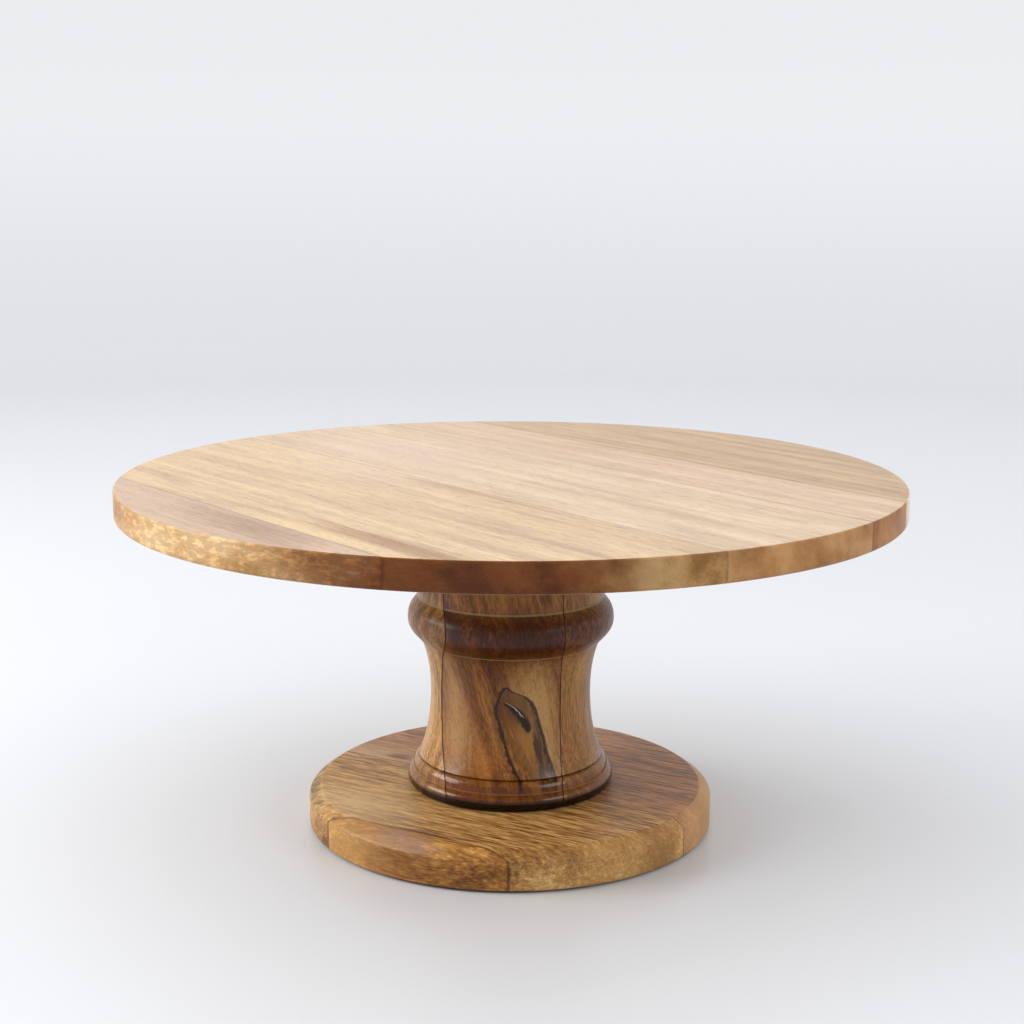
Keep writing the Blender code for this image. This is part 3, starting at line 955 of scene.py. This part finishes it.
@dataclass
class Column:
    """The turned column: flange, neck, bead, cove and two rings, in three staves."""

    bore: float = 0.0045
    flange_radius: float = 0.0412
    flange_depth: float = 0.0030
    neck_radius: float = 0.0358
    neck_level: float = 0.1050
    bead_top: Point = (0.0370, 0.0924)
    bead_middle: Point = (0.0409, 0.0836)
    bead_bottom: Point = (0.0357, 0.0750)
    waist: Point = (0.03185, 0.0540)
    cove_end: Point = (0.0366, 0.0277)
    upper_ring_top: float = 0.0268
    upper_ring_bottom: float = 0.0228
    lower_ring: Point = (0.0411, 0.0190)
    contact_radius: float = 0.0402
    groove: float = 0.0004
    across: float = 8.0
    seams: tuple[float, float] = (-0.029, 0.0155)

    def build(self) -> list[bpy.types.Object]:
        """Turn the column and saw it into its staves."""
        low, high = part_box("column_stave_middle")
        return Turning(
            outline=self._outline(low.z, high.z),
            boards=glued_up("column", COLUMN_NODES, self.seams, self._woods()),
            across=self.across,
            steps=192,
            joint=0.00020,
            ease=0.00012,
            glue=(0.30, 0.80),
            sharp=40.0,
        ).build()

    def _outline(self, bottom: float, top: float) -> list[Point]:
        """Outline from the bore's top, down the outside to the bore's bottom."""
        ends = (self.bore, top), (self.bore, bottom)
        return [ends[0], *self._neck(top), *self._bead_and_cove(), *self._rings(bottom), ends[1]]

    def _neck(self, top: float) -> list[Point]:
        """The flange under the plate and the neck below it."""
        under = top - self.flange_depth
        flange, neck, level = self.flange_radius, self.neck_radius, self.neck_level
        bead, crest = self.bead_top
        return [
            (0.030, top),
            *arc((flange - 0.0006, top - 0.0006), 0.0006, 90.0, 0.0, 4),
            *arc((flange - 0.0005, under + 0.0005), 0.0005, 0.0, -60.0, 3),
            *sweep(
                (flange - 0.0006, under),
                (flange - 0.0032, under - 0.0040),
                (neck, level + 0.0110),
                (neck, level),
                14,
            ),
            *sweep(
                (neck, level),
                (neck, level - 0.0040),
                (bead - 0.0005, crest + 0.0040),
                (bead - 0.0002, crest + 2.0 * self.groove),
                6,
            ),
            (bead - self.groove, crest + self.groove),
        ]

    def _bead_and_cove(self) -> list[Point]:
        """The bead, its crease and the long cove down to the rings."""
        top, middle, bottom = self.bead_top, self.bead_middle, self.bead_bottom
        crease = (bottom[0] - 0.0004, bottom[1] - 0.0003)
        waist, end = self.waist, self.cove_end
        leave, arrive = (top[0] + 0.0024, top[1] - 0.0030), (middle[0], middle[1] + 0.0046)
        points = sweep(top, leave, arrive, middle, 14)
        leave, arrive = (middle[0], middle[1] - 0.0038), (bottom[0] + 0.0026, bottom[1] + 0.0030)
        points += sweep(middle, leave, arrive, bottom, 14)[1:]
        leave, arrive = (crease[0] - 0.0020, crease[1] - 0.0053), (waist[0], waist[1] + 0.0090)
        points += sweep(crease, leave, arrive, waist, 20)
        leave, arrive = (waist[0], waist[1] - 0.0100), (end[0] - 0.0034, end[1] + 0.0080)
        return points + sweep(waist, leave, arrive, end, 24)[1:]

    def _rings(self, bottom: float) -> list[Point]:
        """The two rings at the foot, with a small groove above each."""
        inner = self.cove_end[0]
        outer = inner + 0.0024
        ring_top, ring_bottom, groove = self.upper_ring_top, self.upper_ring_bottom, self.groove
        lower, level = self.lower_ring
        under = sweep(
            (lower, level),
            (lower, level - 0.0014),
            (self.contact_radius + 0.0004, bottom + 0.0004),
            (self.contact_radius, bottom),
            8,
        )
        return [
            (inner - groove, (self.cove_end[1] + ring_top) / 2.0),
            *sweep(
                (inner + 0.0007, ring_top),
                (inner + 0.0017, ring_top - 0.0008),
                (outer, ring_bottom + 0.0014),
                (outer, ring_bottom),
                10,
            ),
            (outer - groove, ring_bottom - groove),
            *sweep(
                (outer + 0.0005, ring_bottom - 2.0 * groove),
                (outer + 0.0015, ring_bottom - 0.0014),
                (lower, level + 0.0014),
                (lower, level),
                10,
            ),
            *under[1:],
        ]

    def _woods(self) -> tuple[Wood, ...]:
        """The three staves' woods, left to right."""
        upright = (0.0, 90.0, 0.0)
        wide, tall = (22.0, 2.0), (4.0, 0.5)
        lot = Lot(Polish.LACQUERED, contrast=1.35, gloss=0.3, turned=True)
        return (
            Wood(
                "acacia_lacquered_golden",
                ("d6a662", "b28246", "7a4e20"),
                Grain(upright, (-60, 20), 3.0, tall, wide, 0.6),
                lot,
                toning=0.55,
                marks=(Mark((-33, -10, 106), (16, 40, 60), "8c6a48", 0.9, 0.8, stain=True),),
            ),
            Wood(
                "acacia_lacquered_orange_brown",
                ("a06c30", "7e4c1e", "522a0c"),
                Grain((0.0, 105.0, 0.0), (-40, 60), 4.0, tall, wide, 1.9),
                lot,
                knot=Knot(),
                marks=(
                    Mark((8, -34, 82), (16, 30, 22), "c8b490", 0.8, 1.0, stain=True),
                    Mark((-6, -34, 72), (14, 22, 12), "b49870", 0.8, 1.0, stain=True),
                    Mark((12, -31, 50), (40, 9, 14), "d0a468", 0.7, 1.0),
                    Mark((-23.2, -25, 68), (6, 0.7, 6), "2a1408", 0.8, 0.6, ragged=0.3),
                    Mark((13, -33, 98), (5, 5, 4.5), "5a2c14", 0.8, 0.9),
                    Mark((-17, -27, 46), (24, 4, 8), "6a3010", 0.3),
                    Mark((-20, -25, 42), (40, 9, 12), "c89c62", 0.6, 1.0),
                    Mark((-11, -33, 33), (12, 6, 9), "c07830", 0.4, 0.9),
                ),
            ),
            Wood(
                "acacia_lacquered_light_brown",
                ("b48442", "946430", "64401a"),
                Grain(upright, (50, -30), 3.0, tall, wide, 3.2),
                lot,
            ),
        )


@dataclass
class Base:
    """The round base: three boards, a soft chamfer, a counterbore for the bolt."""

    flat_radius: float = 0.0760
    chamfer_drop: float = 0.0032
    low_round: float = 0.0008
    bore: float = 0.0045
    counterbore: float = 0.0125
    counterbore_depth: float = 0.0070
    grain_turn: float = 30.0
    seams: tuple[float, float] = (-0.070, -0.007)

    def build(self) -> list[bpy.types.Object]:
        """Turn the base and saw it into its boards."""
        low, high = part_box("base_board_back")
        radius = max(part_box(name)[1].x for name in BASE_NODES)
        return Turning(
            outline=self._outline(radius, low.z, high.z),
            boards=glued_up("base", BASE_NODES, self.seams, self._woods()),
            across=90.0 - self.grain_turn,
            steps=224,
            joint=0.00006,
            glue=(0.4, 0.6),
            sharp=50.0,
        ).build()

    def _outline(self, radius: float, bottom: float, top: float) -> list[Point]:
        """Outline from the bore's top, over the chamfer and back up the counterbore."""
        shoulder, flat = top - self.chamfer_drop, self.flat_radius
        ceiling = bottom + self.counterbore_depth
        low_centre = (radius - self.low_round, bottom + self.low_round)
        return [
            *((reach, top) for reach in (self.bore, 0.045, 0.062)),
            *sweep(
                (flat - 0.0007, top),
                (flat + 0.0001, top),
                (flat + 0.0003, top - 0.0003),
                (flat + 0.0009, top - 0.0007),
                6,
            ),
            *sweep(
                (radius - 0.0011, shoulder + 0.0007),
                (radius - 0.0004, shoulder + 0.0002),
                (radius, shoulder - 0.0003),
                (radius, shoulder - 0.0010),
                8,
            ),
            *arc(low_centre, self.low_round, 0.0, -90.0, 5),
            (0.050, bottom),
            (self.counterbore, bottom),
            (self.counterbore, ceiling),
            (self.bore, ceiling),
        ]

    def _woods(self) -> tuple[Wood, ...]:
        """The three boards' woods, front to back."""
        turn = (0.0, 0.0, self.grain_turn)
        wide, tall = (20.0, 1.5), (7.0, 0.8)
        top, edge = Side.TOP, Side.EDGE
        lot = Lot(
            bands=0.12, mottle=0.16, streak=0.32, pores=0.3, contrast=1.5, calm=0.4, gloss=0.25
        )
        # The chamfer at the left lies in its own darker streak, over two boards.
        shade = Mark((-80, -12, 14), (30, 30, 5), "b8b8bc", 1.0, 1.0, edge, True)
        return (
            Wood(
                "acacia_oiled_golden",
                ("cc9c56", "a06c34", "683e18"),
                Grain(turn, (-120, 0), 4.0, tall, wide, 0.9),
                lot,
                curl=0.16,
                curl_mm=2.0,
                marks=(
                    Mark((-38, -66, 14), (20, 6, 3.5), "ac907c", 0.5),
                    Mark((-60, -52, 8), (26, 20, 20), "d4a662", 0.4, 1.0),
                ),
            ),
            Wood(
                "acacia_oiled_brown",
                ("d6b072", "b08248", "6c4620"),
                Grain(turn, (-120, -10), 4.0, tall, wide, 2.3),
                lot,
                curl=0.08,
                curl_mm=2.0,
                marks=(
                    Mark((-62, -30, 16), (44, 30, 14), "d4b888", 0.6, 1.2, top),
                    Mark((-29, -64, 16), (23, 3.2, 5), "7c5a44", 0.9, 0.8, stain=True),
                    Mark((50, -66, 8), (44, 44, 40), "b48850", 0.5, 1.0, edge),
                    shade,
                ),
            ),
            Wood(
                "acacia_oiled_red_brown",
                ("c49464", "a07048", "6a482e"),
                Grain(turn, (-90, -10), 4.0, tall, wide, 3.6),
                lot,
                marks=(
                    Mark((-60, 20, 16), (44, 30, 14), "d8ba8c", 0.65, 1.2, top),
                    Mark((-46, 25, 16), (9, 4, 5), "8c6c54", 0.8, 0.8, stain=True),
                    Mark((80, -10, 8), (60, 60, 40), "c89a5c", 0.65, 1.0, edge),
                    shade,
                ),
            ),
        )


@dataclass
class Hardware:
    """What holds the stand together: bolt, washer, insert and dowels, as in the frame."""

    steel: Metal = Metal("steel_zinc_plated", "b4b6b8", 0.32)
    brass: Metal = Metal("brass_turned", "c8a45a", 0.30)
    beech: Wood = Wood(
        "beech_milled",
        ("dcbc8e", "cfaa7a", "b88e5e"),
        Grain((0.0, 90.0, 0.0), (-30, 10), 3.0, seed=7.0),
        Lot(Polish.RAW),
    )

    def dress(self) -> None:
        """Give the frame's hardware its metals and its wood."""
        self._dress_node("center_bolt", self.steel.material())
        self._dress_node("bolt_washer", self.steel.material())
        self._dress_node("threaded_insert", self.brass.material())
        beech = self.beech.material()
        for name in DOWEL_NODES:
            self._dress_node(name, beech)

    def _dress_node(self, name: str, material: bpy.types.Material) -> None:
        """Give one of the frame's nodes a material."""
        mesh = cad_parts[name].data
        mesh.materials.clear()
        mesh.materials.append(material)
        LOG.info("%s: %s", name, material.name)


@dataclass
class Pads:
    """The four felt pads: thin discs with a soft edge."""

    felt: Felt = Felt("felt_pressed_brown", "4a3426", "6a5040")
    edge: float = 0.0002

    def build(self) -> list[bpy.types.Object]:
        """Build the pads, one object for each."""
        material = self.felt.material()
        return [self._pad(name, material) for name in PAD_NODES]

    def _pad(self, name: str, material: bpy.types.Material) -> bpy.types.Object:
        """One pad, where the frame has it."""
        low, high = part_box(name)
        radius = (high.x - low.x) / 2.0
        pad = bmesh.new()
        bmesh.ops.create_cone(
            pad,
            cap_ends=True,
            segments=64,
            radius1=radius,
            radius2=radius,
            depth=high.z - low.z,
            matrix=Matrix.Translation((low + high) / 2.0),
        )
        ends = [edge for edge in pad.edges if abs(edge.verts[0].co.z - edge.verts[1].co.z) < 1e-6]
        bmesh.ops.bevel(
            pad,
            geom=ends,
            offset=self.edge,
            offset_type="OFFSET",
            affect="EDGES",
            segments=3,
            profile=0.5,
            material=-1,
        )
        return put_piece(pad, name + "_felt", name, material, 35.0)


# Studio


@dataclass(frozen=True)
class Softbox:
    """A rectangular white lamp that points at the stand."""

    name: str
    place: Place
    target: Place
    width: float
    height: float
    power: float

    def build(self) -> None:
        """Add the lamp."""
        light = bpy.data.lights.new(self.name, "AREA")
        light.shape = "RECTANGLE"
        light.size = self.width
        light.size_y = self.height
        light.energy = self.power
        lamp = bpy.data.objects.new(self.name, light)
        aim = (Vector(self.target) - Vector(self.place)).to_track_quat("-Z", "Y")
        lamp.matrix_world = Matrix.Translation(self.place) @ aim.to_matrix().to_4x4()
        bpy.context.scene.collection.objects.link(lamp)


@dataclass
class Studio:
    """A round pale sweep that glows above the floor, two soft lamps and the camera."""

    floor_radius: float = 1.5
    cove: float = 0.45
    wall_top: float = 1.5
    glow_top: float = 0.35
    sky: float = 1.41
    camera_place: Place = (0.0003, -0.6846, 0.2588)
    pitch: float = 11.03
    roll: float = 0.244
    lens: float = 62.41
    lamps: tuple[Softbox, ...] = (
        Softbox("left_softbox", (-1.15, -0.10, 0.58), (0.0, 0.0, 0.08), 0.80, 0.55, 12.0),
        Softbox("right_softbox", (0.95, -0.72, 0.62), (0.0, 0.0, 0.08), 0.60, 0.40, 3.5),
    )

    def build(self) -> None:
        """Build the sweep, the lamps, the world and the camera."""
        self._sweep()
        for lamp in self.lamps:
            lamp.build()
        self._world()
        self._camera()
        LOG.info("studio: %d lamps", len(self.lamps))

    def _sweep(self) -> None:
        """A round floor that curves up into a wall."""
        radius, cove = self.floor_radius, self.cove
        profile = [
            *((reach, 0.0) for reach in (0.0, 0.4, radius)),
            *arc((radius, cove), cove, -90.0, 0.0, 12)[1:],
            (radius + cove, self.wall_top),
        ]
        floor = put_object(spun(profile, 96), "studio_sweep")
        floor.data.materials.append(self._paint())

    def _paint(self) -> bpy.types.Material:
        """Back-lit white acrylic: the wall glows, least behind the camera."""
        paint, tree, shader = start_material("acrylic_white_backlit")
        shader.inputs["Roughness"].default_value = 0.3
        shader.inputs["Specular IOR Level"].default_value = 0.3
        shader.inputs["Emission Color"].default_value = linear("f0f1f3")
        axes = add(tree, Node.AXES, add(tree, Node.COORDINATES, out="Object")).node.outputs
        rise = add(tree, Node.EASE, axes["Z"], 0.0, self.glow_top)
        pair = {"A": linear("d2d4d7"), "B": linear("606164")}
        shade = add(tree, Node.BLEND, out="Result", Factor=rise, **pair)
        tree.links.new(shade, shader.inputs["Base Color"])
        front = add(tree, Node.EASE, axes["Y"], -1.4, 0.0, 0.35, 0.80)
        glow = add(tree, Node.MULTIPLY, rise, front)
        tree.links.new(glow, shader.inputs["Emission Strength"])
        return paint

    def _world(self) -> None:
        """An even white sky over the sweep."""
        world = bpy.data.worlds.new("studio_world")
        world.use_nodes = True
        background = world.node_tree.nodes["Background"]
        background.inputs["Color"].default_value = linear("f8f8f9")
        background.inputs["Strength"].default_value = self.sky
        bpy.context.scene.world = world

    def _camera(self) -> None:
        """The camera, a little above the plate and looking down on it."""
        lens = bpy.data.cameras.new("studio_camera")
        lens.lens = self.lens
        lens.sensor_width = 36.0
        camera = bpy.data.objects.new("studio_camera", lens)
        tilt = Euler((math.radians(90.0 - self.pitch), 0.0, 0.0)).to_matrix().to_4x4()
        twist = Matrix.Rotation(math.radians(self.roll), 4, "Z")
        camera.matrix_world = Matrix.Translation(self.camera_place) @ tilt @ twist
        bpy.context.scene.collection.objects.link(camera)
        bpy.context.scene.camera = camera


def main() -> None:
    """Build the stand's looks and the studio."""
    logging.basicConfig(level=logging.INFO, format="%(name)s: %(message)s")
    bpy.context.scene.view_settings.view_transform = "Standard"
    pieces = Plate().build()
    pieces += Column().build()
    pieces += Base().build()
    pieces += Pads().build()
    Hardware().dress()
    Studio().build()
    LOG.info("%d fine pieces", len(pieces))


if __name__ == "__main__":
    main()
